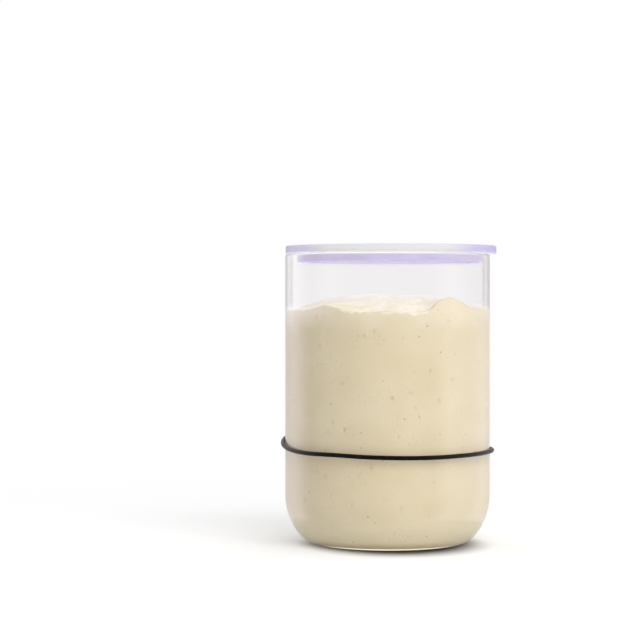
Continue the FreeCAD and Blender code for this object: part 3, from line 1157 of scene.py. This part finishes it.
# Studio, by the direction of a ray: the light from behind and above, the panels that glossy things mirror at
# both sides, and the room round them, which is dimmest in front
BEHIND_RANGE = (-0.3, 0.5)
ABOVE_RANGE = (0.0, 1.0)
RIGHT_RANGE = (-0.3, 0.3)
LEFT_PANEL_SETBACK = 0.75
PANEL_FRONT_RANGE = (-0.70, -0.25)
PANEL_BACK_RANGE = (0.55, 1.05)
PANEL_FOOT_RANGE = (-1.0, -0.4)
PANEL_LEVEL = 1.30
RIGHT_PANEL_DROP = 0.35
RIGHT_PANEL_UPPER_DROP = 0.40
RIGHT_PANEL_UPPER_RANGE = (-0.03, 0.02)
ROOM_FRONT_LEVEL = 0.35
ROOM_SIDE_RISE = 0.45
ROOM_SIDE_RANGE = (-0.75, -0.3)


def light_world(scene, stage):
    """White to the camera, a white backdrop to clear things, and light from behind and above to matt things.

    Glossy things mirror a faintly tinted room, dim in front, with a tall bright panel at each side. The right
    panel is dimmer, most in its upper part.
    """
    world = bpy.data.worlds.new("studio")
    world.use_nodes = True
    scene.world = world
    sheet = Sheet(world.node_tree)
    heading = sheet.node("ShaderNodeTexCoord", output="Generated")
    x, y, z = (sheet.axis(heading, name) for name in "XYZ")
    ambient = stage.ambient * y.between(*BEHIND_RANGE) + stage.overhead * z.between(*ABOVE_RANGE)
    right = x.between(*RIGHT_RANGE)
    panels = (y - LEFT_PANEL_SETBACK * (1 - right)).between(*PANEL_FRONT_RANGE)
    panels = panels * (1 - y.between(*PANEL_BACK_RANGE)) * z.between(*PANEL_FOOT_RANGE)
    drop = right * (RIGHT_PANEL_DROP + RIGHT_PANEL_UPPER_DROP * z.between(*RIGHT_PANEL_UPPER_RANGE))
    room = ROOM_FRONT_LEVEL + ROOM_SIDE_RISE * y.between(*ROOM_SIDE_RANGE) + (PANEL_LEVEL - drop) * panels
    level = ambient + sheet.ray("Glossy") * (room - ambient)
    level = level + sheet.ray("Transmission") * (stage.backdrop - level)
    level = level + sheet.ray("Camera") * (1 - level)
    tone = sheet.blend(sheet.mirrored(), WHITE, stage.mirror_tint)
    glow = sheet.node("ShaderNodeBackground", None, {"Color": tone, "Strength": level})
    sheet.node("ShaderNodeOutputWorld", None, {"Surface": glow})


def hang_lamp(scene, stage):
    """A square soft lamp that faces the jar. The camera, mirrors and clear things don't see it."""
    light = bpy.data.lights.new("key", "AREA")
    light.size = stage.key_side
    light.energy = stage.key
    lamp = bpy.data.objects.new("key", light)
    lamp.location = stage.key_place
    scene.collection.objects.link(lamp)
    middle = (CAD_BOX[0] + CAD_BOX[1]) / 2
    lamp.rotation_euler = (middle - lamp.location).to_track_quat("-Z", "Y").to_euler()
    lamp.visible_camera = False
    lamp.visible_glossy = False
    lamp.visible_transmission = False


def set_camera(scene, stage):
    """The camera looks along +Y, a little down."""
    camera = bpy.data.objects.new("camera", bpy.data.cameras.new("camera"))
    camera.data.lens = stage.lens
    camera.location = stage.camera_place
    camera.rotation_euler = (QUARTER_TURN - stage.camera_tilt, 0, 0)
    scene.collection.objects.link(camera)
    scene.camera = camera


class STARTERJAR_OT_glass_jar(bpy.types.Operator):
    """Make the glass jar"""

    bl_idname = "starterjar.glass_jar"
    bl_label = "Glass jar"

    def execute(self, context):
        jar = context.scene.jar_settings
        put("jar_glass", turned(glass_outline(jar)), False, glass_finish(jar), "glass_jar")
        return {"FINISHED"}


class STARTERJAR_OT_starter(bpy.types.Operator):
    """Make the risen starter inside the jar"""

    bl_idname = "starterjar.starter"
    bl_label = "Starter"

    def execute(self, context):
        jar, starter = context.scene.jar_settings, context.scene.starter_settings
        points, marks = starter_grid(jar, starter)
        piece = put("risen_starter", points, False, starter_finish(starter), "starter")
        for name, values in marks.items():
            mark(piece.data, name, values)
        return {"FINISHED"}


class STARTERJAR_OT_lid(bpy.types.Operator):
    """Make the clear lid and its silicone ring"""

    bl_idname = "starterjar.lid"
    bl_label = "Lid and ring"

    def execute(self, context):
        jar, lid = context.scene.jar_settings, context.scene.lid_settings
        disc = turned(lid_outline(lid, jar), LID_AXIS)
        put("clear_lid", disc, False, plastic_finish(lid), "lid_disc")
        ring = turned(ring_outline(lid), LID_AXIS)
        put("silicone_ring", ring, True, silicone_finish(lid), "lid_ring")
        return {"FINISHED"}


class STARTERJAR_OT_band(bpy.types.Operator):
    """Make the elastic band that marks the fed level"""

    bl_idname = "starterjar.band"
    bl_label = "Marker band"

    def execute(self, context):
        jar, band = context.scene.jar_settings, context.scene.band_settings
        put("elastic_band", band_grid(jar, band), True, rubber_finish(band), "marker_band")
        return {"FINISHED"}


class STARTERJAR_OT_stage(bpy.types.Operator):
    """Set the table, the light and the camera"""

    bl_idname = "starterjar.stage"
    bl_label = "Table, light and camera"

    def execute(self, context):
        stage = context.scene.stage_settings
        lay_table(stage)
        light_world(context.scene, stage)
        hang_lamp(context.scene, stage)
        set_camera(context.scene, stage)
        context.scene.view_settings.view_transform = "Standard"
        return {"FINISHED"}


class STARTERJAR_PT_panel(bpy.types.Panel):
    """Lists the jar's pieces and their settings"""

    bl_idname = "STARTERJAR_PT_panel"
    bl_label = "Starter jar"
    bl_space_type = "VIEW_3D"
    bl_region_type = "UI"
    bl_category = "Starter jar"

    def draw(self, context):
        for operator, group in PANEL_ROWS:
            box = self.layout.box()
            box.operator(operator.bl_idname)
            settings = getattr(context.scene, group)
            for name in settings.__annotations__:
                box.prop(settings, name)


SETTINGS = {
    "jar_settings": JarSettings,
    "starter_settings": StarterSettings,
    "lid_settings": LidSettings,
    "band_settings": BandSettings,
    "stage_settings": StageSettings,
}
PANEL_ROWS = (
    (STARTERJAR_OT_glass_jar, "jar_settings"),
    (STARTERJAR_OT_starter, "starter_settings"),
    (STARTERJAR_OT_lid, "lid_settings"),
    (STARTERJAR_OT_band, "band_settings"),
    (STARTERJAR_OT_stage, "stage_settings"),
)
CLASSES = (*SETTINGS.values(), *(operator for operator, _ in PANEL_ROWS), STARTERJAR_PT_panel)


def register():
    for cls in CLASSES:
        bpy.utils.register_class(cls)
    for name, group in SETTINGS.items():
        setattr(bpy.types.Scene, name, PointerProperty(type=group))


def unregister():
    for name in SETTINGS:
        delattr(bpy.types.Scene, name)
    for cls in reversed(CLASSES):
        bpy.utils.unregister_class(cls)


def main():
    register()
    bpy.ops.starterjar.stage()
    bpy.ops.starterjar.glass_jar()
    bpy.ops.starterjar.starter()
    bpy.ops.starterjar.lid()
    bpy.ops.starterjar.band()


if __name__ == "__main__":
    main()
